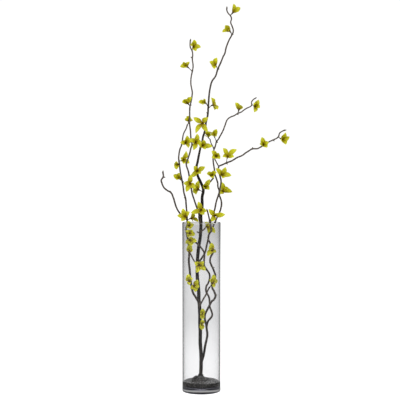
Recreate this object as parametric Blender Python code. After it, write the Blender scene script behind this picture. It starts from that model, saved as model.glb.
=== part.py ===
"""Forsythia branches in bloom, standing in a tall cylinder vase of clear glass.

The origin is the middle of the vase's underside, +Z is up and the front faces -Y. Lengths are in millimetres, and
become metres where a mesh is made.
"""

from math import pi

import bmesh
import bpy
from mathutils import Matrix, Vector

MM = 0.001
UP = Vector((0, 0, 1))
FRONT = Vector((0, -1, 0))
GAP = 0.3

# Vase
VASE_RADIUS = 51
VASE_HEIGHT = 450
VASE_WALL = 4
VASE_BASE = 15.5
VASE_EDGE = 4
VASE_EDGE_BULGE = 1.2
VASE_RIM_EDGE = 0.7
VASE_CORNER = 1
VASE_STEPS = 48

# Setting fill in the bottom of the vase
FILL_DEPTH = 12
MOUND_HEIGHT = 8
MOUND_RADIUS = 26
FILL_STEPS = 24
FILL_EDGE = 1.2
FILL_RIM_EDGE = 0.6
# The mound's own profile, from its foot up: shares of its radius and of its height
MOUND_PROFILE = ((1, 0.05), (0.7, 0.4), (0.45, 0.85), (0.2, 1))
FOOT_DEPTH = 9
HOLE_TOP = 46
HOLE_SIDES = 12

# Points nearer than this are one point, in metres
SAME_POINT = 0.00001
# Faces that turn less than this are one flat face, and edges that turn more than this are sharp, in radians
FLAT_ANGLE = 0.06
SHARP_ANGLE = 0.63

# Stems are laid out on the upright plane through the vase's axis, as seen from this far in front and this high
EYE_DISTANCE = 3100
EYE_HEIGHT = 660

# Blooms
TUBE_LENGTH = 4.5
TUBE_BASE = 1.1
TUBE_MOUTH = 2.3
TUBE_SIDES = 5
CUP_LENGTH = 2.6
CUP_MOUTH = 1.8
STALK_RADIUS = 1
PETAL_SUNK = 1.4
PETAL_OFFSET = 1.1
PETAL_ARCH = 0.28
PETAL_REACH = 0.42
# Each station of a petal: how far along it is, its half width and its half thickness
PETAL_STATIONS = ((0, 1.2, 0.6), (0.5, 6.2, 0.65), (0.75, 5.4, 0.5), (1, 0.7, 0.3))
PETAL_FOLD = 0.24
PETAL_LENGTH = 15
# How far a petal's face is turned from the bloom's axis to the front
PETAL_TURN = 1.2
FACING_BY_PETALS = 0.5

# Bevel resolutions of a strand with four sides and with six
SQUARE = 0
ROUND = 1

# Bud knobs on the twigs
BUD_LENGTH = 5.5
BUD_RADIUS = 1.7
BUD_TIP = 0.5

# Feet of the two cut stems, across and back from the axis, and their radii
TRUNK_FOOT = (-2, 0)
TRUNK_FOOT_RADIUS = 4.8
CURLY_FOOT = (-1, 13)
CURLY_FOOT_RADIUS = 2.7

# Stem routes, each point across, back and up
TRUNK = (
    (-2, 0, 40), (-1, 0, 60), (-1, 0, 101), (-3, 1, 128), (-3, 2, 162), (-4, 3, 178), (-4, 2, 202), (-5, 1, 228),
    (-7, 0, 247), (-7, 0, 263), (-9, 0, 287), (-11, 1, 308), (-11, 2, 334), (-10, 3, 356), (-7, 4, 387),
    (-3, 4, 410), (-2, 4, 427), (-1, 4, 451), (-1, 4, 470), (2, 4, 491), (2, 5, 517), (5, 6, 536), (-1, 8, 554),
    (-8, 10, 569), (-11, 11, 579), (-13, 12, 594), (-10, 14, 610), (-6, 16, 631), (-2, 18, 649), (2, 19, 662),
    (4, 20, 674), (9, 22, 692), (13, 25, 717), (16, 26, 729), (17, 27, 737), (18, 29, 752), (19, 31, 769),
    (20, 33, 782), (23, 37, 804), (28, 40, 822), (37, 42, 835), (43, 44, 853), (51, 47, 871), (57, 49, 886),
    (62, 51, 896), (64, 52, 906), (72, 56, 928), (80, 59, 943), (84, 60, 954), (81, 61, 965), (77, 62, 976),
    (79, 63, 986), (76, 64, 994), (71, 65, 999), (67, 66, 1007), (67, 67, 1015),
)
TALL_TWIG = (
    (-1, 4, 444), (-6, 1, 458), (-7, -2, 474), (-13, -5, 491), (-19, -9, 509), (-25, -13, 528), (-27, -16, 541),
    (-30, -20, 557), (-32, -23, 571), (-35, -26, 586), (-40, -30, 604), (-37, -32, 614), (-31, -35, 632),
    (-28, -37, 645), (-25, -39, 655), (-28, -42, 675), (-29, -45, 692), (-31, -48, 709), (-31, -50, 727),
    (-30, -55, 757), (-27, -57, 769), (-25, -60, 782), (-24, -62, 793), (-26, -64, 804), (-28, -66, 817),
    (-27, -69, 833), (-24, -71, 848), (-22, -73, 860), (-24, -77, 883), (-23, -79, 891), (-25, -81, 903),
    (-29, -82, 910), (-30, -84, 919), (-29, -86, 930),
)
LEFT_STEM = (
    (-5, 1, 234), (-11, -3, 243), (-16, -6, 252), (-22, -9, 262), (-26, -12, 281), (-29, -14, 304),
    (-31, -15, 327), (-33, -15, 348), (-32, -15, 362), (-32, -14, 374), (-34, -13, 395), (-37, -11, 414),
    (-40, -9, 432), (-37, -8, 445), (-38, -8, 459), (-38, -6, 470), (-40, -2, 491), (-42, 3, 513), (-46, 6, 527),
    (-48, 9, 542), (-50, 12, 555), (-53, 15, 570), (-56, 18, 586), (-58, 22, 604), (-60, 24, 618),
    (-59, 26, 631), (-56, 29, 645), (-53, 31, 652), (-50, 34, 668), (-47, 36, 684), (-40, 38, 698),
    (-37, 39, 708),
)
HOOKED_ARM = (
    (-38, -8, 457), (-50, -12, 466), (-60, -17, 478), (-67, -22, 491), (-70, -26, 501), (-75, -32, 517),
    (-81, -37, 529), (-90, -42, 534), (-99, -47, 542), (-104, -51, 552), (-106, -54, 562), (-101, -56, 570),
    (-102, -59, 584),
)
HOOK_STUB = ((-101, -56, 570), (-96, -57, 569))
LEFT_BRACE = ((-32, -15, 371), (-28, -13, 365), (-23, -9, 354), (-17, -4, 344), (-11, 2, 334))
FORK_SPUR = ((5, 6, 536), (13, 2, 548), (23, -3, 557), (32, -8, 568))
RIGHT_ARM = (
    (-10, 2, 340), (-4, 5, 348), (3, 7, 358), (9, 9, 368), (12, 10, 378), (14, 11, 388), (18, 12, 405),
    (21, 13, 420), (24, 14, 425), (29, 15, 435), (35, 16, 447), (41, 17, 462), (47, 18, 474), (52, 20, 489),
    (53, 21, 504), (50, 22, 515), (47, 23, 522), (47, 24, 535), (44, 25, 542), (43, 26, 555), (39, 28, 567),
    (36, 29, 576), (34, 31, 592), (31, 34, 615), (32, 36, 629), (33, 38, 641), (37, 40, 652), (40, 41, 663),
    (45, 43, 670), (50, 44, 679), (57, 47, 692), (62, 49, 705), (69, 52, 722), (77, 55, 728), (87, 58, 732),
    (95, 60, 737), (105, 63, 741), (113, 65, 747), (121, 67, 752), (128, 69, 755), (133, 71, 760),
    (132, 72, 766), (136, 73, 773), (145, 75, 779),
)
RIGHT_ARM_TWIG = ((33, 38, 641), (31, 36, 649), (27, 34, 656), (24, 32, 664), (23, 31, 669))
LOW_SPUR = ((-5, 1, 226), (-1, -3, 234), (6, -7, 247), (13, -10, 259), (17, -13, 269), (22, -16, 278))
RIM_SPUR = ((-2, 4, 425), (4, 2, 429), (10, 0, 434))
RIM_STUB = ((-3, 4, 421), (-8, 2, 423), (-12, 1, 425))

CURLY_STEM = (
    (-1, 13, 40), (-1, 13, 58), (0, 12, 75), (4, 11, 88), (7, 10, 101), (10, 9, 120), (14, 8, 138), (16, 8, 151),
    (14, 8, 167), (12, 9, 181), (9, 8, 194), (10, 5, 205), (16, 0, 218), (21, -6, 228), (27, -10, 239),
    (34, -12, 246), (37, -10, 255), (34, -6, 265), (29, -2, 276), (29, 2, 284), (35, 8, 297), (38, 10, 308),
    (35, 8, 317), (30, 2, 329), (26, -3, 337), (23, -7, 346), (25, -10, 359), (30, -11, 368), (31, -12, 378),
    (26, -13, 388), (21, -13, 399), (18, -13, 405), (21, -14, 420), (26, -15, 427), (25, -15, 436),
    (22, -14, 451), (19, -12, 467), (15, -10, 483),
)
CURLY_FRONT = (
    (14, 8, 171), (18, 11, 187), (25, 14, 195), (29, 16, 202), (28, 18, 211), (23, 18, 224), (22, 16, 239),
    (20, 13, 252), (13, 12, 265), (13, 12, 279), (18, 12, 288), (22, 8, 301), (21, 1, 313), (14, -6, 324),
    (7, -12, 337), (7, -15, 348), (7, -17, 370), (1, -17, 380), (-6, -16, 389), (-15, -15, 397),
)
LONG_ARM = (
    (25, -15, 440), (24, -14, 451), (29, -14, 464), (35, -15, 483), (40, -16, 507), (43, -17, 516),
    (47, -18, 528), (50, -19, 544), (52, -20, 559), (49, -21, 573), (46, -23, 597), (55, -26, 602),
    (66, -29, 607), (81, -34, 613), (94, -38, 621), (108, -42, 627), (116, -45, 633), (127, -49, 640),
    (134, -51, 644), (148, -55, 645), (158, -58, 650), (171, -62, 658), (181, -65, 664), (190, -68, 668),
    (203, -72, 676), (206, -73, 685), (212, -75, 690), (221, -77, 694),
)
LONG_ARM_TWIG = ((46, -23, 597), (39, -26, 610), (33, -29, 621))

# Each strand of a branch: its route, and its radii at even steps along it
MAIN_STRANDS = (
    (TRUNK, (TRUNK_FOOT_RADIUS, TRUNK_FOOT_RADIUS, 4.7, 4.4, 3.8, 2.7, 2.2, 1.9, 1.5)),
    (TALL_TWIG, (2, 2, 1.8, 1.6, 1.4)),
    (LEFT_STEM, (2.7, 2.7, 2.2, 1.9, 1.5)),
    (HOOKED_ARM, (2.2, 2.1, 1.9)),
    (HOOK_STUB, (1.6, 1.3)),
    (LEFT_BRACE, (1.7, 1.6)),
    (FORK_SPUR, (2.1, 1.9)),
    (RIGHT_ARM, (2.4, 2.2, 1.9, 1.7, 1.4)),
    (RIGHT_ARM_TWIG, (1.4, 1.2)),
    (LOW_SPUR, (2.1, 1.7)),
    (RIM_SPUR, (1.7, 1.5)),
    (RIM_STUB, (1.7, 1.5)),
)
CURLY_STRANDS = (
    (CURLY_STEM, (CURLY_FOOT_RADIUS, 3.3, 2.8, 2.6, 2.4, 2.3, 1.8)),
    (CURLY_FRONT, (2.6, 2.4, 2.4, 2.1)),
    (LONG_ARM, (2.2, 2, 1.8, 1.4)),
    (LONG_ARM_TWIG, (1.4, 1.3)),
)

# Bud knobs: where each stands on its twig, and which way it points
MAIN_BUDS = (
    ((-9, 0, 287), (-8, -2, 5)), ((-4, 2, 197), (-7, -1, 4)), ((43, 44, 853), (6, 2, 2)), ((80, 59, 943), (6, 2, 3)),
    ((17, 27, 737), (-5, -2, 4)), ((-24, -77, 883), (-6, 0, 4)), ((-30, -55, 757), (5, 2, 4)),
    ((-42, 3, 513), (-6, 2, 4)), ((-50, 12, 555), (5, 3, 4)), ((47, 23, 522), (-5, 3, 5)), ((40, 41, 663), (5, 3, -3)),
    ((95, 60, 737), (3, 2, -5)), ((-32, -13, 382), (5, 4, 5)), ((-81, -37, 529), (-2, -3, 6)),
    ((-29, -86, 928), (1, -1, 6)), ((67, 67, 1013), (0, 1, 6)), ((-102, -59, 582), (1, -1, 6)),
)
CURLY_BUDS = (
    ((66, -29, 607), (4, 2, -5)), ((134, -51, 644), (2, 2, 6)), ((190, -68, 668), (3, 3, -5)),
    ((37, -10, 255), (5, -2, 3)), ((30, 2, 329), (6, 2, 1)), ((15, -10, 481), (-1, 1, 6)),
    ((-14, -15, 396), (-5, 0, 4)), ((219, -77, 693), (6, -1, 1)),
)

# Blooms from the top down: where the stalk leaves its twig, where the petals meet, and each petal's tip from there
MAIN_BLOOMS = (
    ((76, 64, 994), (83, 59, 1002), ((1, -4, 23), (20, 2, 13), (15, -15, 0), (2, 19, 6))),
    ((80, 59, 943), (74, 53, 954), ((-12, -8, 14), (-20, -4, -4), (1, -18, 6), (-7, 17, 5))),
    ((-25, -81, 903), (-21, -90, 912), ((2, -8, 18), (19, -6, -1), (7, -14, -12), (-8, -16, 4))),
    ((43, 44, 853), (37, 36, 864), ((4, -4, 20), (-16, -8, 9), (-3, -17, -11), (-7, 17, 3))),
    ((-24, -71, 848), (-38, -76, 861), ((5, 12, 13), (-8, -15, 11), (-18, 4, 0), (-4, -16, -5))),
    ((-30, -55, 757), (-36, -63, 765), ((-15, -12, 2), (-3, -18, 10), (10, -8, 15), (-7, 15, 8))),
    ((18, 29, 754), (10, 21, 766), ((-18, -6, 1), (1, -16, 8), (-6, -15, -6), (-5, 13, 8))),
    ((18, 29, 750), (31, 26, 760), ((-6, -9, 19), (11, -12, -13), (3, -9, -14), (8, 17, 2))),
    ((133, 71, 760), (141, 62, 758), ((10, -4, 16), (13, -14, -6), (-2, -6, -18), (-4, -17, 7))),
    ((95, 60, 737), (99, 53, 748), ((-10, -6, 18), (3, -17, 12), (11, -11, 4), (-2, 16, 9))),
    ((-37, 39, 708), (-33, 33, 717), ((-7, -14, 12), (6, -16, 8), (8, 14, 6), (-10, 10, 8))),
    ((11, 24, 702), (3, 11, 712), ((-24, -4, 15), (15, -6, 15), (-18, -6, -27), (15, -5, -24))),
    ((23, 31, 669), (17, 26, 678), ((-1, -14, 14), (7, 12, 12), (-4, -18, -2), (9, -12, 2))),
    ((40, 41, 663), (34, 33, 679), ((7, -8, 17), (-9, -17, 1), (-4, 15, 11), (6, -17, -2))),
    ((-52, 32, 657), (-42, 24, 660), ((-14, -15, 2), (4, -6, 20), (17, -14, 10), (8, -12, -13))),
    ((-25, -39, 655), (-15, -48, 661), ((4, -6, 23), (-17, -14, 8), (-6, -10, -20), (15, -14, 0))),
    ((-2, 18, 649), (3, 6, 653), ((26, -6, -2), (4, -8, 15), (-11, -16, 3), (8, -16, -10))),
    ((-59, 24, 612), (-49, 17, 614), ((9, -4, 25), (18, -8, -7), (-6, -17, 7), (2, -16, -9))),
    ((-58, 22, 604), (-63, 17, 603), ((-6, -7, -9), (-9, -5, 3), (-2, -9, -13), (-3, -6, 9))),
    ((-12, 11, 582), (-11, -2, 586), ((21, -4, 11), (-17, -6, -17), (10, -14, -7), (-9, -10, 13))),
    ((32, -8, 567), (28, -15, 575), ((-14, -12, 4), (-5, -13, 9), (3, -16, -8), (12, -10, 8))),
    ((-50, 12, 555), (-57, 5, 566), ((-17, -6, 10), (0, -12, 15), (-11, 14, 6), (-7, -16, -4))),
    ((-30, -19, 553), (-30, -31, 553), ((-17, -8, 1), (-10, -4, -22), (15, -8, -12), (3, -4, 24))),
    ((6, 5, 538), (9, -7, 543), ((13, -4, 21), (12, -14, -6), (-3, -18, -2), (1, -16, 11))),
    ((4, 5, 530), (-9, -4, 537), ((-12, -10, -9), (-5, -14, -13), (1, -4, 23), (-14, -6, 8))),
    ((47, 23, 522), (57, 15, 532), ((-4, -4, 25), (14, -14, 11), (25, -4, -2), (-10, -16, -6))),
    ((0, 4, 476), (-1, -16, 482), ((-7, -2, 23), (-27, -4, -7), (15, -10, -2), (9, -10, -11))),
    ((-38, -8, 461), (-42, -22, 465), ((-22, -4, 3), (-7, -4, 22), (11, -12, 14), (-11, -10, -11))),
    ((-38, -8, 455), (-27, 0, 461), ((19, -4, -10), (6, 12, 14), (3, 16, -7), (8, -8, 12))),
    ((-38, -8, 442), (-32, -19, 441), ((-4, 0, 13), (3, -6, -9), (12, -2, 5), (-7, 1, -6))),
    ((9, 1, 433), (16, -3, 439), ((-7, -4, 12), (1, -6, -17), (20, -3, -17), (6, 9, 9))),
    ((-37, -11, 414), (-30, -20, 421), ((-10, 1, 8), (8, -11, 9), (13, 1, -5), (-6, 2, -11))),
    ((-34, -13, 394), (-29, -22, 402), ((-12, 4, -8), (17, -6, -1), (4, -10, 11), (3, -6, -14))),
    ((-11, 2, 333), (-6, -18, 336), ((-12, -4, 9), (12, -9, 12), (17, -6, -13), (-7, -6, -19))),
    ((-28, -13, 293), (-31, -24, 294), ((-4, 6, 17), (-8, 8, 8), (0, -3, -11), (9, -2, 8))),
    ((22, -16, 277), (28, -20, 287), ((3, -2, 25), (13, 6, 10), (-8, -8, 11), (5, -6, -10))),
    ((-26, -12, 279), (-19, -21, 282), ((9, -5, 16), (-10, -6, -8), (3, -6, -17), (14, -6, -2))),
    ((-4, 2, 204), (2, -11, 206), ((2, -3, 15), (1, -4, -14), (-5, -12, 3), (5, -11, -2))),
    ((-4, 3, 178), (1, -10, 179), ((0, -3, -15), (2, -4, 13), (-5, -12, -3), (5, -11, 2))),
    ((-32, -14, 362), (-31, -20, 371), ((-1, 2, 21), (5, -1, 12), (-4, -2, 15), (2, -4, 18))),
)
CURLY_BLOOMS = (
    ((158, -58, 650), (163, -68, 655), ((-4, -6, 20), (14, -12, 6), (10, -14, -7), (-10, -16, 2))),
    ((203, -72, 676), (212, -79, 670), ((9, -12, 17), (20, -4, 6), (10, -12, -14), (-4, -19, -2))),
    ((33, -29, 620), (39, -37, 625), ((6, -14, 9), (10, -15, -7), (-12, -6, 14), (-12, -12, -4))),
    ((66, -29, 607), (69, -38, 624), ((-12, -4, 22), (-13, -16, -1), (24, -4, 18), (17, -10, -1))),
    ((49, -21, 573), (54, -32, 575), ((10, -4, 21), (25, -4, -1), (-16, -4, 18), (2, -18, -8))),
    ((32, -14, 472), (36, -27, 468), ((-17, -4, 17), (27, -3, 3), (-10, -8, -15), (6, -16, 8))),
    ((30, -11, 370), (29, -24, 376), ((-2, -2, 20), (-14, -3, -15), (9, 4, -6), (-10, -5, 8))),
)

# Root-like folds on the mound round the stems, from beside the stems out to the fill
RIDGES = (
    ((-11, -4, 40), (-16, -7, 37), (-22, -9, 31), (-29, -11, 25)),
    ((8, -3, 35), (13, -6, 34), (18, -8, 30), (24, -12, 25)),
    ((-4, -10, 36), (-7, -14, 34), (-8, -20, 29), (-12, -27, 25)),
    ((-12, 8, 38), (-18, 13, 34), (-25, 17, 25)),
    ((9, 12, 36), (16, 17, 32), (22, 23, 25)),
    ((3, -9, 35), (8, -15, 31), (11, -24, 25)),
)
RIDGE_RADII = (2.6, 3, 2.6, 1.6)

VASE_INNER = VASE_RADIUS - VASE_WALL
FILL_BOTTOM = VASE_BASE + GAP
FILL_TOP = FILL_BOTTOM + FILL_DEPTH
FOOT_BOTTOM = FILL_TOP - FOOT_DEPTH


def finish(name, colour, roughness, alpha=1.0):
    """A Principled material of one colour."""
    material = bpy.data.materials.new(name)
    material.use_nodes = True
    shader = material.node_tree.nodes["Principled BSDF"]
    shader.inputs["Base Color"].default_value = (*colour, 1)
    shader.inputs["Roughness"].default_value = roughness
    shader.inputs["Metallic"].default_value = 0
    shader.inputs["Alpha"].default_value = alpha
    return material


def add(name, mesh):
    """An object for a mesh, linked to the scene."""
    thing = bpy.data.objects.new(name, mesh)
    bpy.context.scene.collection.objects.link(thing)
    return thing


def drop(thing):
    """Removes an object and its data."""
    bpy.data.objects.remove(thing, do_unlink=True)


def placed(point):
    """A laid-out point in the round: the further back it is, the further along its line of sight it lies."""
    across, back, up = point
    spread = 1 + back / EYE_DISTANCE
    return Vector((across * spread, back, EYE_HEIGHT + (up - EYE_HEIGHT) * spread))


def solid(name, bm):
    """Closes a bmesh off as an object of outward-facing triangles."""
    bmesh.ops.recalc_face_normals(bm, faces=bm.faces)
    bmesh.ops.triangulate(bm, faces=bm.faces)
    mesh = bpy.data.meshes.new(name)
    bm.to_mesh(mesh)
    bm.free()
    return add(name, mesh)


def applied(name, thing):
    """The object's evaluated shape as a plain mesh object, in place of the object."""
    graph = bpy.context.evaluated_depsgraph_get()
    mesh = bpy.data.meshes.new_from_object(thing.evaluated_get(graph))
    drop(thing)
    mesh.name = name
    return add(name, mesh)


def fused(name, pieces, solver="EXACT"):
    """One solid from overlapping pieces, by one union on the collection of all but the first."""
    first, *others = pieces
    group = bpy.data.collections.new(name + "_pieces")
    for piece in others:
        group.objects.link(piece)
    union = first.modifiers.new("union", "BOOLEAN")
    union.operation = "UNION"
    union.operand_type = "COLLECTION"
    union.collection = group
    union.solver = solver
    body = applied("joined", first)
    for piece in others:
        drop(piece)
    bpy.data.collections.remove(group)
    return simplified(name, body)


def simplified(name, body):
    """The same solid with the needless cuts that a union leaves in its flat faces taken out."""
    bm = bmesh.new()
    bm.from_mesh(body.data)
    drop(body)
    bmesh.ops.dissolve_limit(bm, angle_limit=FLAT_ANGLE, verts=bm.verts, edges=bm.edges)
    return solid(name, bm)


def dressed(thing, material):
    """Gives an object its one material and smooth shading."""
    thing.data.materials.clear()
    thing.data.materials.append(material)
    thing.data.shade_smooth()
    thing.data.set_sharp_from_angle(angle=SHARP_ANGLE)
    return thing


def turned(name, profile, steps):
    """A profile of radii and heights turned once round +Z, its two open ends closed flat."""
    bm = bmesh.new()
    points = [bm.verts.new((radius * MM, 0, height * MM)) for radius, height in profile]
    edges = [bm.edges.new(pair) for pair in zip(points, points[1:])]
    bmesh.ops.spin(
        bm, geom=points + edges, cent=(0, 0, 0), axis=UP, angle=2 * pi, steps=steps, use_merge=True
    )
    bmesh.ops.holes_fill(bm, edges=[edge for edge in bm.edges if edge.is_boundary], sides=0)
    return solid(name, bm)


def tapered(points, steps):
    """A radius for each point, from the radii at even steps along the whole run."""
    runs = [0]
    for here, there in zip(points, points[1:]):
        runs.append(runs[-1] + (there - here).length)
    radii = []
    for run in runs:
        step = run / runs[-1] * (len(steps) - 1)
        low = min(int(step), len(steps) - 2)
        radii.append(steps[low] + (steps[low + 1] - steps[low]) * (step - low))
    return radii


def strand(points, radii, sides=ROUND):
    """A tube with closed ends through the points, each with its own radius."""
    curve = bpy.data.curves.new("strand", "CURVE")
    curve.dimensions = "3D"
    curve.bevel_depth = MM
    curve.bevel_resolution = sides
    curve.resolution_u = 1
    curve.use_fill_caps = True
    spline = curve.splines.new("BEZIER")
    spline.bezier_points.add(len(points) - 1)
    for knot, point, radius in zip(spline.bezier_points, points, radii):
        knot.co = point * MM
        knot.radius = radius
        knot.handle_left_type = "AUTO"
        knot.handle_right_type = "AUTO"
    tube = applied("strand", add("strand", curve))
    bm = bmesh.new()
    bm.from_mesh(tube.data)
    drop(tube)
    bmesh.ops.remove_doubles(bm, verts=bm.verts, dist=SAME_POINT)
    return solid("strand", bm)


def cone(base, top, base_radius, top_radius, sides):
    """A cone with a flat top, from one point to another."""
    axis = top - base
    bm = bmesh.new()
    bmesh.ops.create_cone(
        bm, cap_ends=True, segments=sides, radius1=base_radius * MM, radius2=top_radius * MM,
        depth=axis.length * MM,
    )
    turn = axis.to_track_quat("Z", "Y").to_matrix().to_4x4()
    bmesh.ops.transform(bm, matrix=Matrix.Translation((base + top) / 2 * MM) @ turn, verts=bm.verts)
    return solid("cone", bm)


def facing(stalk, throat, tips):
    """The way a bloom looks: on from its stalk, and towards the middle of its petals."""
    middle = sum((Vector(tip) for tip in tips), Vector())
    return ((throat - stalk).normalized() + middle.normalized() * FACING_BY_PETALS).normalized()


def petal(throat, look, tip):
    """One narrow folded blade that leaves the throat along the bloom's axis and arches out to its tip."""
    size = min(1, tip.length / PETAL_LENGTH)
    out = (tip - look * tip.dot(look)).normalized()
    root = throat - look * PETAL_SUNK + out * PETAL_OFFSET
    bend = throat + look * tip.length * PETAL_ARCH + tip * PETAL_REACH
    end = throat + tip
    side = tip.cross(look + FRONT * PETAL_TURN).normalized()
    bm = bmesh.new()
    face = None
    for along, half_width, half_thick in PETAL_STATIONS:
        back = 1 - along
        middle = root * back * back + bend * 2 * back * along + end * along * along
        run = ((bend - root) * back + (end - bend) * along).normalized()
        up = side.cross(run).normalized()
        half = side * half_width * size
        lift = up * half_width * size * PETAL_FOLD
        ring = (middle + half + lift, middle + up * half_thick, middle - half + lift, middle - up * half_thick)
        if face is None:
            face = bm.faces.new([bm.verts.new(point * MM) for point in ring])
            continue
        grown = bmesh.ops.extrude_face_region(bm, geom=[face])["geom"]
        # The first face stays as the petal's end; a later one would be left inside the blade
        if along > PETAL_STATIONS[1][0]:
            bm.faces.remove(face)
        face = next(item for item in grown if isinstance(item, bmesh.types.BMFace))
        for vert, point in zip(face.verts, ring):
            vert.co = point * MM
    return solid("petal", bm)


def bloom(name, stalk, throat, tips, material):
    """A yellow flower: four petals fused into a short tube."""
    look = facing(stalk, throat, tips)
    tube = cone(throat - look * TUBE_LENGTH, throat, TUBE_BASE, TUBE_MOUTH, TUBE_SIDES)
    petals = [petal(throat, look, Vector(tip)) for tip in tips]
    return dressed(fused(name, [tube, *petals]), material)


def bloom_stalk(stalk, throat, tips):
    """The stalk and the cup that a bloom sits on, a gap short of its tube."""
    look = facing(stalk, throat, tips)
    rim = throat - look * (TUBE_LENGTH + GAP)
    heel = rim - look * CUP_LENGTH
    return strand([stalk, heel, rim], (STALK_RADIUS, STALK_RADIUS, CUP_MOUTH), SQUARE)


def bud(foot, way):
    """A small pointed knob on a twig."""
    tip = foot + Vector(way).normalized() * BUD_LENGTH
    return strand([foot, (foot + tip) / 2, tip], (BUD_RADIUS, BUD_RADIUS, BUD_TIP), SQUARE)


def standing(foot, route):
    """A route in the round that starts with a straight foot down in its hole."""
    return [Vector((*foot, FOOT_BOTTOM + GAP)), *(placed(point) for point in route)]


def branch(name, foot, strands, buds, blooms, material):
    """One stem with its twigs, buds, bloom stalks and cups as one solid. The first strand has the foot."""
    (first, first_radii), *others = strands
    runs = [(standing(foot, first), first_radii)]
    runs += [([placed(point) for point in route], radii) for route, radii in others]
    pieces = [strand(points, tapered(points, radii)) for points, radii in runs]
    pieces += [bud(placed(spot), way) for spot, way in buds]
    pieces += [bloom_stalk(placed(stalk), placed(throat), tips) for stalk, throat, tips in blooms]
    return dressed(fused(name, pieces, "MANIFOLD"), material)


def make_vase(material):
    """The glass cylinder, with its thick base and soft rim."""
    rim = VASE_HEIGHT - VASE_RIM_EDGE
    profile = (
        (VASE_RADIUS - VASE_EDGE, 0), (VASE_RADIUS - VASE_EDGE_BULGE, VASE_EDGE_BULGE),
        (VASE_RADIUS, VASE_EDGE), (VASE_RADIUS, rim),
        (VASE_RADIUS - VASE_RIM_EDGE, VASE_HEIGHT), (VASE_INNER + VASE_RIM_EDGE, VASE_HEIGHT), (VASE_INNER, rim),
        (VASE_INNER, VASE_BASE + VASE_CORNER), (VASE_INNER - VASE_CORNER, VASE_BASE),
    )
    return dressed(turned("vase", profile, VASE_STEPS), material)


def make_fill(material):
    """The dark disc that the stems are set in, with its mound, its root-like folds and two plain holes."""
    outer = VASE_INNER - GAP
    profile = [
        (outer - FILL_EDGE, FILL_BOTTOM), (outer, FILL_BOTTOM + FILL_EDGE),
        (outer, FILL_TOP - FILL_RIM_EDGE), (outer - FILL_RIM_EDGE, FILL_TOP),
    ]
    profile += [(MOUND_RADIUS * wide, FILL_TOP + MOUND_HEIGHT * high) for wide, high in MOUND_PROFILE]
    disc = turned("disc", profile, FILL_STEPS)
    ridges = [strand([Vector(point) for point in route], RIDGE_RADII) for route in RIDGES]
    fill = fused("dark_fill", [disc, *ridges])
    for foot, radius in ((TRUNK_FOOT, TRUNK_FOOT_RADIUS), (CURLY_FOOT, CURLY_FOOT_RADIUS)):
        wide = radius + GAP * 2
        hole = cone(Vector((*foot, FOOT_BOTTOM)), Vector((*foot, HOLE_TOP)), wide, wide, HOLE_SIDES)
        cut = fill.modifiers.new("hole", "BOOLEAN")
        cut.operation = "DIFFERENCE"
        cut.object = hole
        cut.solver = "EXACT"
        fill = applied("dark_fill", fill)
        drop(hole)
    return dressed(fill, material)


def make_blooms(material):
    """Every bloom, numbered down the main branch and then along the curly one."""
    for number, (stalk, throat, tips) in enumerate(MAIN_BLOOMS + CURLY_BLOOMS, start=1):
        bloom(f"bloom_{number:02d}", placed(stalk), placed(throat), tips, material)


def main():
    for thing in list(bpy.data.objects):
        bpy.data.objects.remove(thing, do_unlink=True)
    glass = finish("clear_glass", (0.86, 0.88, 0.90), 0.02, alpha=0.35)
    bark = finish("dark_bark", (0.035, 0.024, 0.018), 0.6)
    fill = finish("dark_resin", (0.012, 0.014, 0.012), 0.15)
    yellow = finish("yellow_petal", (0.48, 0.42, 0.02), 0.5)
    make_vase(glass)
    make_fill(fill)
    branch("main_branch", TRUNK_FOOT, MAIN_STRANDS, MAIN_BUDS, MAIN_BLOOMS, bark)
    branch("curly_branch", CURLY_FOOT, CURLY_STRANDS, CURLY_BUDS, CURLY_BLOOMS, bark)
    make_blooms(yellow)


main()
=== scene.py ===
"""Forsythia branches in bloom in a tall cylinder vase of clear glass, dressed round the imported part.

Lengths are in millimetres, and become metres where a mesh is made.
"""

import random
from math import cos, pi, sin

import bmesh
import bpy
from mathutils import Matrix, Vector, noise
from mathutils.kdtree import KDTree


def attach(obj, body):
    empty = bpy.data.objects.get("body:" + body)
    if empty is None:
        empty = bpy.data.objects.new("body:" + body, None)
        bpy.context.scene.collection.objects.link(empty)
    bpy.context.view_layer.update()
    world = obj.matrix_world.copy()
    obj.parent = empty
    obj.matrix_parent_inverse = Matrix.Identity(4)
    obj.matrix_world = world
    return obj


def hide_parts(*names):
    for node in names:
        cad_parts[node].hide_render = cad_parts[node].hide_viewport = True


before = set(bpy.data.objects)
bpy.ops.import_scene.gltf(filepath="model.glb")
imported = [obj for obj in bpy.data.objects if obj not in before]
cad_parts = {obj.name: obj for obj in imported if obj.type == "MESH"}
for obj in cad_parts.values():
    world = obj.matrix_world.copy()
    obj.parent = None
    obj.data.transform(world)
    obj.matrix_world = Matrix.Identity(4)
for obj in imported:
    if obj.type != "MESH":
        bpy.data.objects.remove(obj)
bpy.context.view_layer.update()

MM = 0.001
FRONT = Vector((0, -1, 0))
BODY = "root"
WHITE = (1, 1, 1, 1)

# Camera, in metres
CAMERA_AT = (-0.0037, -3.121, 0.66)
CAMERA_AIM = (-0.0037, 0, 0.509)
CAMERA_LENS = 106.3
CAMERA_SENSOR = 36

# Vase
VASE_RADIUS = 51
VASE_HEIGHT = 450
VASE_WALL = 4
VASE_BASE = 15.5
VASE_INNER = VASE_RADIUS - VASE_WALL
VASE_STEPS = 144
FOOT_ROUND = 2.5
PUNT_RADIUS = 38
PUNT_DEPTH = 0.6
PUNT_LIP = 4
BASE_ROUND = 1
ARC_STEPS = 6
RIM_STEPS = 10
# A narrow ring of the wall beside each rounded edge, so that the rest of the wall is shaded as straight
EDGE_BAND = 0.6
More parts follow.
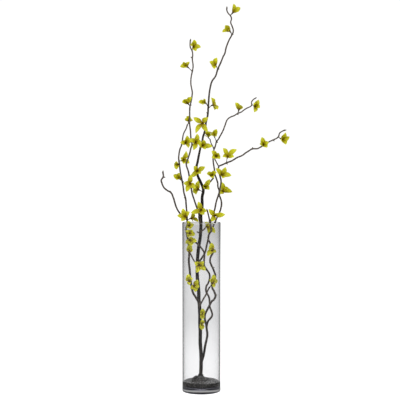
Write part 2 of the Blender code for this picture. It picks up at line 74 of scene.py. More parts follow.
# How fast the glass greys from its face to its side, and its tints at each: the grey at the side is painted shade
GLASS_EDGE = 0.35
GLASS_FACE = (0.975, 0.975, 0.98, 1)
GLASS_SIDE_SHADE = (0.84, 0.85, 0.86, 1)
# The heights between which the painted shade of the thick foot sets in, and its tones from the ground up to the upper
# one: a painted dark line at the heel in the vase's contact shadow, clear glass, then a painted grey band under the
# dark fill
FOOT_THIN = 19
FOOT_THICK = 15
FOOT_SHADE_TONES = ((0, (0.03, 0.03, 0.05)), (0.16, (0.08, 0.08, 0.1)), (0.25, (1, 1, 1)), (0.62, (1, 1, 1)),
              (0.74, (0.36, 0.36, 0.4)), (0.85, (0.3, 0.3, 0.34)))

# Setting fill
GAP = 0.3
FILL_BOTTOM = VASE_BASE + GAP
FILL_TOP = FILL_BOTTOM + 12
FILL_SEAT = 0.25
FILL_HEEL = 1.2
FILL_LIP = 0.8
FILL_STEPS = 120
MOUND_HEIGHT = 8
MOUND_RADIUS = 26
# The mound's own profile, from its foot up: shares of its radius and of its height
MOUND_PROFILE = (
    (1.3, -0.03), (1.1, 0), (1, 0.05), (0.9, 0.16), (0.8, 0.28), (0.7, 0.42), (0.6, 0.6), (0.5, 0.78), (0.4, 0.9),
    (0.3, 0.97), (0.15, 1),
)
FOOT_BOTTOM = FILL_TOP - 9
HOLE_DEPTH = 40
HOLE_SIDES = 24
# The resin drawn up round the trunk's foot: radii and heights
COLLAR_PROFILE = ((15, 30), (12, 34.5), (9.5, 37), (7.8, 40), (7, 43), (6.4, 45))
MELT_CELL = 0.0009
MELT_PASSES = 6
MELT_STRENGTH = 0.5
FOLD_SIDES = 3
ROOTLET_RADII = (1.2, 1.7, 1.4, 0.9)
ROOTLETS = (
    ((-6, -5, 40), (-11, -11, 35), (-18, -16, 30), (-25, -20, 25)),
    ((5, -5, 38), (11, -9, 34), (17, -15, 29), (21, -22, 25)),
    ((-9, 2, 40), (-17, 2, 35), (-26, 1, 29), (-34, -2, 26)),
    ((7, 3, 37), (15, 2, 33), (24, 3, 28), (33, 2, 26)),
    ((1, -7, 38), (2, -15, 33), (1, -22, 28), (3, -30, 26)),
    ((-6, 12, 38), (-10, 20, 32), (-14, 29, 26)),
    ((4, 17, 37), (8, 24, 32), (9, 33, 26)),
)

# Stems are laid out on the upright plane through the vase's axis, as seen from this far in front and this high
EYE_DISTANCE = 3100
EYE_HEIGHT = 660

# Feet of the two cut stems, across and back from the axis, and their radii
TRUNK_FOOT = (-2, 0)
TRUNK_FOOT_RADIUS = 4.8
CURLY_FOOT = (-1, 13)
CURLY_FOOT_RADIUS = 2.7

# Edges that turn more than these angles stay sharp
SHARP_ON_PLANT = 1.2
SHARP_ON_BUDS = 1
SHARP_ON_FILL = 0.9
SHARP_ON_GLASS = 0.6

# Tubes: half the sides of a stem's section, steps between two points of a route, and what is welded together
STEM_SIDES = 4
ROUTE_STEPS = 6
WELD = 0.005

# Blooms
TUBE_LENGTH = 4.5
TUBE_STEPS = 16
CUP_LENGTH = 2.6
CUP_STEPS = 12
BUD_STEPS = 10
STALK_ROOT = 1.1
STALK_WAIST = 0.8
STALK_RADIUS = 1
STALK_BOW = 0.4
STALK_OVERLAP = 0.4
PETAL_SUNK = 1.4
PETAL_OFFSET = 1.1
PETAL_ARCH = 0.28
PETAL_REACH = 0.42
PETAL_LENGTH = 15
FACING_BY_PETALS = 0.5
PETAL_TURN = 1.2
PETAL_ALONG = 16
PETAL_ACROSS = 8
PETAL_THICKNESS = 0.35
PETAL_FOLD = 0.27
PETAL_FOLD_CURVE = 1.4
PETAL_TWIST = 0.3
PETAL_SWAY = 0.9
PETAL_RUFFLE = 0.5
PETAL_RUFFLES = 9
THREAD_SUNK = 3
THREAD_LEAN = 0.4
THREAD_RADII = (0.3, 0.25)
ANTHER_HEIGHT = 1.2
ANTHER_SPREAD = 0.6
ANTHER_LIFT = 0.6
ANTHER_LEAN = 0.2
ANTHER_SHAPE = (0.55, 0.4, 1.1)
LOBE_WIDTH = 0.75
LOBE_TIP = 0.08
LOBE_LENGTH = 3.4
LOBE_SUNK = 0.6
LOBE_OUT = 1.5
LOBE_FLARE = 0.75
LOBE_CROWN = 0.25
LOBE_THICKNESS = 0.3
CUP_PROFILE = ((0.5, -2.7), (0.95, -2.6), (1.35, -1.8), (1.75, -0.8), (1.85, 0), (1.5, 0.15))
# Each station of a petal: how far along it is and its half width
PETAL_OUTLINE = (
    (0, 1.3), (0.1, 2.8), (0.22, 4.9), (0.36, 6.3), (0.48, 6.6), (0.6, 6.2), (0.72, 5.1), (0.84, 3.4), (0.94, 1.5),
    (1, 0.2),
)

# Bark: how far it swells at a node and within what reach, how its skin wavers, from what radius it does so fully,
# and how much it adds to the thinnest twigs
KNOT_SWELL = 0.35
KNOT_REACH = 4.5
BARK_WAVES = 260
BARK_DEPTH = 0.35
BARK_FULL = 2
BARK_SKIN = 0.25
# The radius up to which wood looks young, and how much thicker old wood is
YOUNG_RADIUS = 1.6
OLD_EXTRA = 1.8
WOOD_SAMPLES = 6
PORE_COLOUR = (0.07, 0.055, 0.04, 1)

# Stops of a petal's colour from its throat to its tip, and its veins
VEIN_COLOUR = (0.20, 0.17, 0.004, 1)
PETAL_COLOURS = (
    (0, (0.09, 0.045, 0.002)), (0.12, (0.19, 0.115, 0.002)), (0.24, (0.33, 0.27, 0.003)), (0.45, (0.46, 0.44, 0.009)),
    (0.8, (0.60, 0.61, 0.02)), (1, (0.70, 0.71, 0.07)),
)

# Floor: half its side and how far it lies below the foot, in metres
FLOOR_HALF = 9
FLOOR_DROP = 0.0002
# How bright the room and the floor are to the eye, as light, through the glass and to rays that were mirrored
ROOM_SEEN = 1.05
ROOM_LIGHT = 0.68
ROOM_THROUGH = 0.98
ROOM_MIRRORED = 0.36
FLOOR_WHITE = 0.85
FLOOR_WHITE_THROUGH = 0.6
FLOOR_MIRRORED = 0.3
FLOOR_GLOW = 0.55
FLOOR_GLOW_THROUGH = 0.33
# How bright the floor is to the glass at these distances from the vase's axis, in metres: a painted contact shadow
# under it, and painted shade far off
UNDER_VASE_SHADOW = (0.07, 0.11, 0.1, 1)
FAR_OFF_SHADE = (0.5, 1.3, 1, 0.78)
# The soft panels, in metres and watts: name, place, what it points at, side and power
PANELS = (
    ("key_panel", (-2.2, -2.6, 3.4), (0, 0, 0.5), 2.4, 95),
    ("fill_panel", (2.8, -1.8, 2.4), (0, 0, 0.6), 2.4, 35),
    ("back_panel", (0.4, 3.2, 3.2), (0, 0.3, 0.3), 3, 60),
)

# Stem routes, each point across, back and up
TRUNK = (
    (-2, 0, 40), (-1, 0, 60), (-1, 0, 101), (-3, 1, 128), (-3, 2, 162), (-4, 3, 178), (-4, 2, 202), (-5, 1, 228),
    (-7, 0, 247), (-7, 0, 263), (-9, 0, 287), (-11, 1, 308), (-11, 2, 334), (-10, 3, 356), (-7, 4, 387),
    (-3, 4, 410), (-2, 4, 427), (-1, 4, 451), (-1, 4, 470), (2, 4, 491), (2, 5, 517), (5, 6, 536), (-1, 8, 554),
    (-8, 10, 569), (-11, 11, 579), (-13, 12, 594), (-10, 14, 610), (-6, 16, 631), (-2, 18, 649), (2, 19, 662),
    (4, 20, 674), (9, 22, 692), (13, 25, 717), (16, 26, 729), (17, 27, 737), (18, 29, 752), (19, 31, 769),
    (20, 33, 782), (23, 37, 804), (28, 40, 822), (37, 42, 835), (43, 44, 853), (51, 47, 871), (57, 49, 886),
    (62, 51, 896), (64, 52, 906), (72, 56, 928), (80, 59, 943), (84, 60, 954), (81, 61, 965), (77, 62, 976),
    (79, 63, 986), (76, 64, 994), (71, 65, 999), (67, 66, 1007), (67, 67, 1015),
)
TALL_TWIG = (
    (-1, 4, 444), (-6, 1, 458), (-7, -2, 474), (-13, -5, 491), (-19, -9, 509), (-25, -13, 528), (-27, -16, 541),
    (-30, -20, 557), (-32, -23, 571), (-35, -26, 586), (-40, -30, 604), (-37, -32, 614), (-31, -35, 632),
    (-28, -37, 645), (-25, -39, 655), (-28, -42, 675), (-29, -45, 692), (-31, -48, 709), (-31, -50, 727),
    (-30, -55, 757), (-27, -57, 769), (-25, -60, 782), (-24, -62, 793), (-26, -64, 804), (-28, -66, 817),
    (-27, -69, 833), (-24, -71, 848), (-22, -73, 860), (-24, -77, 883), (-23, -79, 891), (-25, -81, 903),
    (-29, -82, 910), (-30, -84, 919), (-29, -86, 930),
)
LEFT_STEM = (
    (-5, 1, 234), (-11, -3, 243), (-16, -6, 252), (-22, -9, 262), (-26, -12, 281), (-29, -14, 304),
    (-31, -15, 327), (-33, -15, 348), (-32, -15, 362), (-32, -14, 374), (-34, -13, 395), (-37, -11, 414),
    (-40, -9, 432), (-37, -8, 445), (-38, -8, 459), (-38, -6, 470), (-40, -2, 491), (-42, 3, 513), (-46, 6, 527),
    (-48, 9, 542), (-50, 12, 555), (-53, 15, 570), (-56, 18, 586), (-58, 22, 604), (-60, 24, 618),
    (-59, 26, 631), (-56, 29, 645), (-53, 31, 652), (-50, 34, 668), (-47, 36, 684), (-40, 38, 698),
    (-37, 39, 708),
)
HOOKED_ARM = (
    (-38, -8, 457), (-50, -12, 466), (-60, -17, 478), (-67, -22, 491), (-70, -26, 501), (-75, -32, 517),
    (-81, -37, 529), (-90, -42, 534), (-99, -47, 542), (-104, -51, 552), (-106, -54, 562), (-101, -56, 570),
    (-102, -59, 584),
)
HOOK_STUB = ((-101, -56, 570), (-96, -57, 569))
LEFT_BRACE = ((-32, -15, 371), (-28, -13, 365), (-23, -9, 354), (-17, -4, 344), (-11, 2, 334))
FORK_SPUR = ((5, 6, 536), (13, 2, 548), (23, -3, 557), (32, -8, 568))
RIGHT_ARM = (
    (-10, 2, 340), (-4, 5, 348), (3, 7, 358), (9, 9, 368), (12, 10, 378), (14, 11, 388), (18, 12, 405),
    (21, 13, 420), (24, 14, 425), (29, 15, 435), (35, 16, 447), (41, 17, 462), (47, 18, 474), (52, 20, 489),
    (53, 21, 504), (50, 22, 515), (47, 23, 522), (47, 24, 535), (44, 25, 542), (43, 26, 555), (39, 28, 567),
    (36, 29, 576), (34, 31, 592), (31, 34, 615), (32, 36, 629), (33, 38, 641), (37, 40, 652), (40, 41, 663),
    (45, 43, 670), (50, 44, 679), (57, 47, 692), (62, 49, 705), (69, 52, 722), (77, 55, 728), (87, 58, 732),
    (95, 60, 737), (105, 63, 741), (113, 65, 747), (121, 67, 752), (128, 69, 755), (133, 71, 760),
    (132, 72, 766), (136, 73, 773), (145, 75, 779),
)
RIGHT_ARM_TWIG = ((33, 38, 641), (31, 36, 649), (27, 34, 656), (24, 32, 664), (23, 31, 669))
LOW_SPUR = ((-5, 1, 226), (-1, -3, 234), (6, -7, 247), (13, -10, 259), (17, -13, 269), (22, -16, 278))
RIM_SPUR = ((-2, 4, 425), (4, 2, 429), (10, 0, 434))
RIM_STUB = ((-3, 4, 421), (-8, 2, 423), (-12, 1, 425))

CURLY_STEM = (
    (-1, 13, 40), (-1, 13, 58), (0, 12, 75), (4, 11, 88), (7, 10, 101), (10, 9, 120), (14, 8, 138), (16, 8, 151),
    (14, 8, 167), (12, 9, 181), (9, 8, 194), (10, 5, 205), (16, 0, 218), (21, -6, 228), (27, -10, 239),
    (34, -12, 246), (37, -10, 255), (34, -6, 265), (29, -2, 276), (29, 2, 284), (35, 8, 297), (38, 10, 308),
    (35, 8, 317), (30, 2, 329), (26, -3, 337), (23, -7, 346), (25, -10, 359), (30, -11, 368), (31, -12, 378),
    (26, -13, 388), (21, -13, 399), (18, -13, 405), (21, -14, 420), (26, -15, 427), (25, -15, 436),
    (22, -14, 451), (19, -12, 467), (15, -10, 483),
)
CURLY_FRONT = (
    (14, 8, 171), (18, 11, 187), (25, 14, 195), (29, 16, 202), (28, 18, 211), (23, 18, 224), (22, 16, 239),
    (20, 13, 252), (13, 12, 265), (13, 12, 279), (18, 12, 288), (22, 8, 301), (21, 1, 313), (14, -6, 324),
    (7, -12, 337), (7, -15, 348), (7, -17, 370), (1, -17, 380), (-6, -16, 389), (-15, -15, 397),
)
LONG_ARM = (
    (25, -15, 440), (24, -14, 451), (29, -14, 464), (35, -15, 483), (40, -16, 507), (43, -17, 516),
    (47, -18, 528), (50, -19, 544), (52, -20, 559), (49, -21, 573), (46, -23, 597), (55, -26, 602),
    (66, -29, 607), (81, -34, 613), (94, -38, 621), (108, -42, 627), (116, -45, 633), (127, -49, 640),
    (134, -51, 644), (148, -55, 645), (158, -58, 650), (171, -62, 658), (181, -65, 664), (190, -68, 668),
    (203, -72, 676), (206, -73, 685), (212, -75, 690), (221, -77, 694),
)
LONG_ARM_TWIG = ((46, -23, 597), (39, -26, 610), (33, -29, 621))

# Each strand of a branch: its route, and its radii at even steps along it
MAIN_STRANDS = (
    (TRUNK, (TRUNK_FOOT_RADIUS, TRUNK_FOOT_RADIUS, 4.7, 4.4, 3.8, 2.7, 2.2, 1.9, 1.5)),
    (TALL_TWIG, (2, 2, 1.8, 1.6, 1.4)),
    (LEFT_STEM, (2.7, 2.7, 2.2, 1.9, 1.5)),
    (HOOKED_ARM, (2.2, 2.1, 1.9)),
    (HOOK_STUB, (1.6, 1.3)),
    (LEFT_BRACE, (1.7, 1.6)),
    (FORK_SPUR, (2.1, 1.9)),
    (RIGHT_ARM, (2.4, 2.2, 1.9, 1.7, 1.4)),
    (RIGHT_ARM_TWIG, (1.4, 1.2)),
    (LOW_SPUR, (2.1, 1.7)),
    (RIM_SPUR, (1.7, 1.5)),
    (RIM_STUB, (1.7, 1.5)),
)
CURLY_STRANDS = (
    (CURLY_STEM, (CURLY_FOOT_RADIUS, 3.3, 2.8, 2.6, 2.4, 2.3, 1.8)),
    (CURLY_FRONT, (2.6, 2.4, 2.4, 2.1)),
    (LONG_ARM, (2.2, 2, 1.8, 1.4)),
    (LONG_ARM_TWIG, (1.4, 1.3)),
)

# Bud knobs: where each stands on its twig, and which way it points
MAIN_BUDS = (
    ((-9, 0, 287), (-8, -2, 5)), ((-4, 2, 197), (-7, -1, 4)), ((43, 44, 853), (6, 2, 2)), ((80, 59, 943), (6, 2, 3)),
    ((17, 27, 737), (-5, -2, 4)), ((-24, -77, 883), (-6, 0, 4)), ((-30, -55, 757), (5, 2, 4)),
    ((-42, 3, 513), (-6, 2, 4)), ((-50, 12, 555), (5, 3, 4)), ((47, 23, 522), (-5, 3, 5)), ((40, 41, 663), (5, 3, -3)),
    ((95, 60, 737), (3, 2, -5)), ((-32, -13, 382), (5, 4, 5)), ((-81, -37, 529), (-2, -3, 6)),
    ((-29, -86, 928), (1, -1, 6)), ((67, 67, 1013), (0, 1, 6)), ((-102, -59, 582), (1, -1, 6)),
)
CURLY_BUDS = (
    ((66, -29, 607), (4, 2, -5)), ((134, -51, 644), (2, 2, 6)), ((190, -68, 668), (3, 3, -5)),
    ((37, -10, 255), (5, -2, 3)), ((30, 2, 329), (6, 2, 1)), ((15, -10, 481), (-1, 1, 6)),
    ((-14, -15, 396), (-5, 0, 4)), ((219, -77, 693), (6, -1, 1)),
)

# Blooms from the top down: where the stalk leaves its twig, where the petals meet, and each petal's tip from there
MAIN_BLOOMS = (
    ((76, 64, 994), (83, 59, 1002), ((1, -4, 23), (20, 2, 13), (15, -15, 0), (2, 19, 6))),
    ((80, 59, 943), (74, 53, 954), ((-12, -8, 14), (-20, -4, -4), (1, -18, 6), (-7, 17, 5))),
    ((-25, -81, 903), (-21, -90, 912), ((2, -8, 18), (19, -6, -1), (7, -14, -12), (-8, -16, 4))),
    ((43, 44, 853), (37, 36, 864), ((4, -4, 20), (-16, -8, 9), (-3, -17, -11), (-7, 17, 3))),
    ((-24, -71, 848), (-38, -76, 861), ((5, 12, 13), (-8, -15, 11), (-18, 4, 0), (-4, -16, -5))),
    ((-30, -55, 757), (-36, -63, 765), ((-15, -12, 2), (-3, -18, 10), (10, -8, 15), (-7, 15, 8))),
    ((18, 29, 754), (10, 21, 766), ((-18, -6, 1), (1, -16, 8), (-6, -15, -6), (-5, 13, 8))),
    ((18, 29, 750), (31, 26, 760), ((-6, -9, 19), (11, -12, -13), (3, -9, -14), (8, 17, 2))),
    ((133, 71, 760), (141, 62, 758), ((10, -4, 16), (13, -14, -6), (-2, -6, -18), (-4, -17, 7))),
    ((95, 60, 737), (99, 53, 748), ((-10, -6, 18), (3, -17, 12), (11, -11, 4), (-2, 16, 9))),
    ((-37, 39, 708), (-33, 33, 717), ((-7, -14, 12), (6, -16, 8), (8, 14, 6), (-10, 10, 8))),
    ((11, 24, 702), (3, 11, 712), ((-24, -4, 15), (15, -6, 15), (-18, -6, -27), (15, -5, -24))),
    ((23, 31, 669), (17, 26, 678), ((-1, -14, 14), (7, 12, 12), (-4, -18, -2), (9, -12, 2))),
    ((40, 41, 663), (34, 33, 679), ((7, -8, 17), (-9, -17, 1), (-4, 15, 11), (6, -17, -2))),
    ((-52, 32, 657), (-42, 24, 660), ((-14, -15, 2), (4, -6, 20), (17, -14, 10), (8, -12, -13))),
    ((-25, -39, 655), (-15, -48, 661), ((4, -6, 23), (-17, -14, 8), (-6, -10, -20), (15, -14, 0))),
    ((-2, 18, 649), (3, 6, 653), ((26, -6, -2), (4, -8, 15), (-11, -16, 3), (8, -16, -10))),
    ((-59, 24, 612), (-49, 17, 614), ((9, -4, 25), (18, -8, -7), (-6, -17, 7), (2, -16, -9))),
    ((-58, 22, 604), (-63, 17, 603), ((-6, -7, -9), (-9, -5, 3), (-2, -9, -13), (-3, -6, 9))),
    ((-12, 11, 582), (-11, -2, 586), ((21, -4, 11), (-17, -6, -17), (10, -14, -7), (-9, -10, 13))),
    ((32, -8, 567), (28, -15, 575), ((-14, -12, 4), (-5, -13, 9), (3, -16, -8), (12, -10, 8))),
    ((-50, 12, 555), (-57, 5, 566), ((-17, -6, 10), (0, -12, 15), (-11, 14, 6), (-7, -16, -4))),
    ((-30, -19, 553), (-30, -31, 553), ((-17, -8, 1), (-10, -4, -22), (15, -8, -12), (3, -4, 24))),
    ((6, 5, 538), (9, -7, 543), ((13, -4, 21), (12, -14, -6), (-3, -18, -2), (1, -16, 11))),
    ((4, 5, 530), (-9, -4, 537), ((-12, -10, -9), (-5, -14, -13), (1, -4, 23), (-14, -6, 8))),
    ((47, 23, 522), (57, 15, 532), ((-4, -4, 25), (14, -14, 11), (25, -4, -2), (-10, -16, -6))),
    ((0, 4, 476), (-1, -16, 482), ((-7, -2, 23), (-27, -4, -7), (15, -10, -2), (9, -10, -11))),
    ((-38, -8, 461), (-42, -22, 465), ((-22, -4, 3), (-7, -4, 22), (11, -12, 14), (-11, -10, -11))),
    ((-38, -8, 455), (-27, 0, 461), ((19, -4, -10), (6, 12, 14), (3, 16, -7), (8, -8, 12))),
    ((-38, -8, 442), (-32, -19, 441), ((-4, 0, 13), (3, -6, -9), (12, -2, 5), (-7, 1, -6))),
    ((9, 1, 433), (16, -3, 439), ((-7, -4, 12), (1, -6, -17), (20, -3, -17), (6, 9, 9))),
    ((-37, -11, 414), (-30, -20, 421), ((-10, 1, 8), (8, -11, 9), (13, 1, -5), (-6, 2, -11))),
    ((-34, -13, 394), (-29, -22, 402), ((-12, 4, -8), (17, -6, -1), (4, -10, 11), (3, -6, -14))),
    ((-11, 2, 333), (-6, -18, 336), ((-12, -4, 9), (12, -9, 12), (17, -6, -13), (-7, -6, -19))),
    ((-28, -13, 293), (-31, -24, 294), ((-4, 6, 17), (-8, 8, 8), (0, -3, -11), (9, -2, 8))),
    ((22, -16, 277), (28, -20, 287), ((3, -2, 25), (13, 6, 10), (-8, -8, 11), (5, -6, -10))),
    ((-26, -12, 279), (-19, -21, 282), ((9, -5, 16), (-10, -6, -8), (3, -6, -17), (14, -6, -2))),
    ((-4, 2, 204), (2, -11, 206), ((2, -3, 15), (1, -4, -14), (-5, -12, 3), (5, -11, -2))),
    ((-4, 3, 178), (1, -10, 179), ((0, -3, -15), (2, -4, 13), (-5, -12, -3), (5, -11, 2))),
    ((-32, -14, 362), (-31, -20, 371), ((-1, 2, 21), (5, -1, 12), (-4, -2, 15), (2, -4, 18))),
)
CURLY_BLOOMS = (
    ((158, -58, 650), (163, -68, 655), ((-4, -6, 20), (14, -12, 6), (10, -14, -7), (-10, -16, 2))),
    ((203, -72, 676), (212, -79, 670), ((9, -12, 17), (20, -4, 6), (10, -12, -14), (-4, -19, -2))),
    ((33, -29, 620), (39, -37, 625), ((6, -14, 9), (10, -15, -7), (-12, -6, 14), (-12, -12, -4))),
    ((66, -29, 607), (69, -38, 624), ((-12, -4, 22), (-13, -16, -1), (24, -4, 18), (17, -10, -1))),
    ((49, -21, 573), (54, -32, 575), ((10, -4, 21), (25, -4, -1), (-16, -4, 18), (2, -18, -8))),
    ((32, -14, 472), (36, -27, 468), ((-17, -4, 17), (27, -3, 3), (-10, -8, -15), (6, -16, 8))),
    ((30, -11, 370), (29, -24, 376), ((-2, -2, 20), (-14, -3, -15), (9, 4, -6), (-10, -5, 8))),
)

# Root-like folds on the mound round the stems, from beside the stems out to the fill
RIDGES = (
    ((-11, -4, 40), (-16, -7, 37), (-22, -9, 31), (-29, -11, 25)),
    ((8, -3, 34), (13, -6, 33), (18, -8, 30), (24, -12, 25)),
    ((-4, -10, 36), (-7, -14, 34), (-8, -20, 29), (-12, -27, 25)),
    ((-12, 8, 38), (-18, 13, 34), (-25, 17, 25)),
    ((9, 12, 33), (16, 17, 30), (22, 23, 25)),
    ((3, -9, 35), (8, -15, 31), (11, -24, 25)),
)
RIDGE_RADII = (2.6, 3, 2.6, 1.6)

# The corolla's tube as turned round a bloom's axis, and a scaly bud round its own: radii and heights
TUBE_PROFILE = (
    (0.4, -4.5), (1.05, -4.4), (1.15, -3.6), (1.35, -2.6), (1.7, -1.4), (2.3, -0.3), (2.7, 0.3),
    (2.4, 0.3), (1.9, -0.5), (1.3, -1.8), (0.9, -3), (0.4, -3.3),
)
BUD_PROFILE = (
    (0.5, -0.6), (1.1, 0.2), (1.45, 1.1), (1.35, 1.9), (1.55, 2), (1.45, 2.8), (1.15, 3.5), (1.28, 3.6),
    (1.05, 4.4), (0.6, 5.1), (0.25, 5.5),
)


def add(name, mesh):
    """An object for a mesh or curve, linked to the scene."""
    thing = bpy.data.objects.new(name, mesh)
    bpy.context.scene.collection.objects.link(thing)
    return thing


def drop(thing):
    """Removes an object."""
    bpy.data.objects.remove(thing, do_unlink=True)


def placed(point):
    """A laid-out point in the round: the further back it is, the further along its line of sight it lies."""
    across, back, up = point
    spread = 1 + back / EYE_DISTANCE
    return Vector((across * spread, back, EYE_HEIGHT + (up - EYE_HEIGHT) * spread))


def solid(name, bm):
    """Closes a bmesh off as an object with outward faces."""
    bmesh.ops.recalc_face_normals(bm, faces=bm.faces)
    mesh = bpy.data.meshes.new(name)
    bm.to_mesh(mesh)
    bm.free()
    return add(name, mesh)


def applied(name, thing):
    """The object's evaluated shape as a plain mesh object, in place of the object."""
    graph = bpy.context.evaluated_depsgraph_get()
    mesh = bpy.data.meshes.new_from_object(thing.evaluated_get(graph))
    drop(thing)
    mesh.name = name
    return add(name, mesh)


def fused(name, pieces, solver="MANIFOLD"):
    """One solid from overlapping pieces, by one union on the collection of all but the first."""
    first, *others = pieces
    group = bpy.data.collections.new(name + "_pieces")
    for piece in others:
        group.objects.link(piece)
    union = first.modifiers.new("union", "BOOLEAN")
    union.operation = "UNION"
    union.operand_type = "COLLECTION"
    union.collection = group
    union.solver = solver
    body = applied(name, first)
    for piece in others:
        drop(piece)
    bpy.data.collections.remove(group)
    return body


def turned(name, profile, steps):
    """A profile of radii and heights turned once round +Z, its open ends closed flat."""
    bm = bmesh.new()
    points = [bm.verts.new((radius * MM, 0, height * MM)) for radius, height in profile]
    edges = [bm.edges.new(pair) for pair in zip(points, points[1:])]
    bmesh.ops.spin(
        bm, geom=points + edges, cent=(0, 0, 0), axis=(0, 0, 1), angle=2 * pi, steps=steps, use_merge=True
    )
    bmesh.ops.holes_fill(bm, edges=[edge for edge in bm.edges if edge.is_boundary], sides=0)
    return solid(name, bm)


def stood(thing, foot, way):
    """Moves a shape made round +Z so that it stands at a foot and points a given way."""
    turn = Vector(way).to_track_quat("Z", "Y").to_matrix().to_4x4()
    thing.data.transform(Matrix.Translation(foot * MM) @ turn)
    return thing


def smooth(thing, angle):
    """Smooth shading, with edges that turn more than the angle kept sharp."""
    thing.data.shade_smooth()
    thing.data.set_sharp_from_angle(angle=angle)
    return thing


def tapered(points, steps):
    """A radius for each point, from the radii at even steps along the whole run."""
    runs = [0]
    for here, there in zip(points, points[1:]):
        runs.append(runs[-1] + (there - here).length)
    radii = []
    for run in runs:
        step = run / runs[-1] * (len(steps) - 1)
        low = min(int(step), len(steps) - 2)
        radii.append(steps[low] + (steps[low + 1] - steps[low]) * (step - low))
    return radii


def strand(points, radii, sides, steps):
    """A tube with closed ends through the points, each with its own radius."""
    curve = bpy.data.curves.new("strand", "CURVE")
    curve.dimensions = "3D"
    curve.bevel_depth = MM
    curve.bevel_resolution = sides
    curve.resolution_u = steps
    curve.use_fill_caps = True
    spline = curve.splines.new("BEZIER")
    spline.bezier_points.add(len(points) - 1)
    for knot, point, radius in zip(spline.bezier_points, points, radii):
        knot.co = point * MM
        knot.radius = radius
        knot.handle_left_type = "AUTO"
        knot.handle_right_type = "AUTO"
    tube = applied("strand", add("strand", curve))
    bm = bmesh.new()
    bm.from_mesh(tube.data)
    drop(tube)
    bmesh.ops.remove_doubles(bm, verts=bm.verts, dist=WELD * MM)
    bmesh.ops.triangulate(bm, faces=bm.faces)
    return solid("strand", bm)


def grown_petal(throat, look, tip, chance):
    """One blade of a bloom: a narrow grid bent along its arch, folded down its middle and given its thickness."""
    size = min(1, tip.length / PETAL_LENGTH)
    out = (tip - look * tip.dot(look)).normalized()
    root = throat - look * PETAL_SUNK + out * PETAL_OFFSET
    bend = throat + look * tip.length * PETAL_ARCH + tip * PETAL_REACH
    end = throat + tip
    side = tip.cross(look + FRONT * PETAL_TURN).normalized()
    twist = chance.uniform(-PETAL_TWIST, PETAL_TWIST)
    sway = chance.uniform(-PETAL_SWAY, PETAL_SWAY)
    phase = chance.uniform(0, 2 * pi)
    bm = bmesh.new()
    bm.loops.layers.uv.new("UVMap")
    bmesh.ops.create_grid(bm, x_segments=PETAL_ACROSS, y_segments=PETAL_ALONG, size=1, calc_uvs=True)
    for vert in bm.verts:
        across, along = vert.co.x, (vert.co.y + 1) / 2
        back = 1 - along
        middle = root * back * back + bend * 2 * back * along + end * along * along
        middle += side * sway * sin(pi * along)
        run = ((bend - root) * back + (end - bend) * along).normalized()
        up = side.cross(run).normalized()
        half_width = between(PETAL_OUTLINE, along) * size
        turn = twist * along
        wide = side * cos(turn) + up * sin(turn)
        high = up * cos(turn) - side * sin(turn)
        fold = PETAL_FOLD * half_width * abs(across) ** PETAL_FOLD_CURVE
        ruffle = PETAL_RUFFLE * sin(along * PETAL_RUFFLES + phase + across) * across * across * sin(pi * along)
        vert.co = (middle + wide * across * half_width + high * (fold + ruffle)) * MM
    bmesh.ops.solidify(bm, geom=bm.faces, thickness=PETAL_THICKNESS * MM)
    return solid("petal", bm)


def between(stations, along):
    """The value at a place among stations of (place, value), with straight runs from one to the next."""
    for (low, here), (high, there) in zip(stations, stations[1:]):
        if along <= high:
            step = (along - low) / (high - low)
            return here + (there - here) * step
    return stations[-1][1]


def stamen(throat, look, lean):
    """A short thread with its long anther, beside the bloom's axis."""
    head = throat + look * ANTHER_HEIGHT + lean
    thread = strand([throat - look * THREAD_SUNK + lean * THREAD_LEAN, head], THREAD_RADII, 1, 3)
    bm = bmesh.new()
    bmesh.ops.create_uvsphere(bm, u_segments=8, v_segments=6, radius=MM)
    bmesh.ops.scale(bm, vec=ANTHER_SHAPE, verts=bm.verts)
    anther = stood(solid("anther", bm), head + look * ANTHER_LIFT, look + lean * ANTHER_LEAN)
    return [thread, anther]


def facing(stalk, throat, tips):
    """The way a bloom looks: on from its stalk, and towards the middle of its petals."""
    middle = sum((Vector(tip) for tip in tips), Vector())
    return ((throat - stalk).normalized() + middle.normalized() * FACING_BY_PETALS).normalized()


def gathered(name, parts):
    """One mesh from several closed ones, each with the number of its material."""
    bm = bmesh.new()
    for thing, number in parts:
        for face in thing.data.polygons:
            face.material_index = number
        bm.from_mesh(thing.data)
        drop(thing)
    mesh = bpy.data.meshes.new(name)
    bm.to_mesh(mesh)
    bm.free()
    return add(name, mesh)


def bloom(number, stalk, throat, tips, finishes):
    """A forsythia flower: a short flared tube, four petals and two stamens."""
    chance = random.Random(number)
    look = facing(stalk, throat, tips)
    parts = [(grown_petal(throat, look, Vector(tip), chance), 0) for tip in tips]
    parts.append((stood(turned("tube", TUBE_PROFILE, TUBE_STEPS), throat, look), 0))
    lean = look.orthogonal().normalized() * ANTHER_SPREAD
    for thing in (*stamen(throat, look, lean), *stamen(throat, look, -lean)):
        parts.append((thing, 1))
    flower = smooth(gathered(f"forsythia_bloom_{number:02d}", parts), SHARP_ON_PLANT)
    for finish in finishes:
        flower.data.materials.append(finish)
    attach(flower, BODY)
    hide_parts(f"bloom_{number:02d}")


def calyx(stalk, throat, tips):
    """The cup under a bloom, with four pointed lobes that lie along its tube."""
    look = facing(stalk, throat, tips)
    rim = throat - look * (TUBE_LENGTH + GAP)
    cup = stood(turned("cup", CUP_PROFILE, CUP_STEPS), rim, look)
    side = look.orthogonal().normalized()
    lobes = []
    for step in range(4):
        out = Matrix.Rotation(step * pi / 2, 3, look) @ side
        lobes.append(calyx_lobe(rim, look, out))
    return [cup, *lobes]


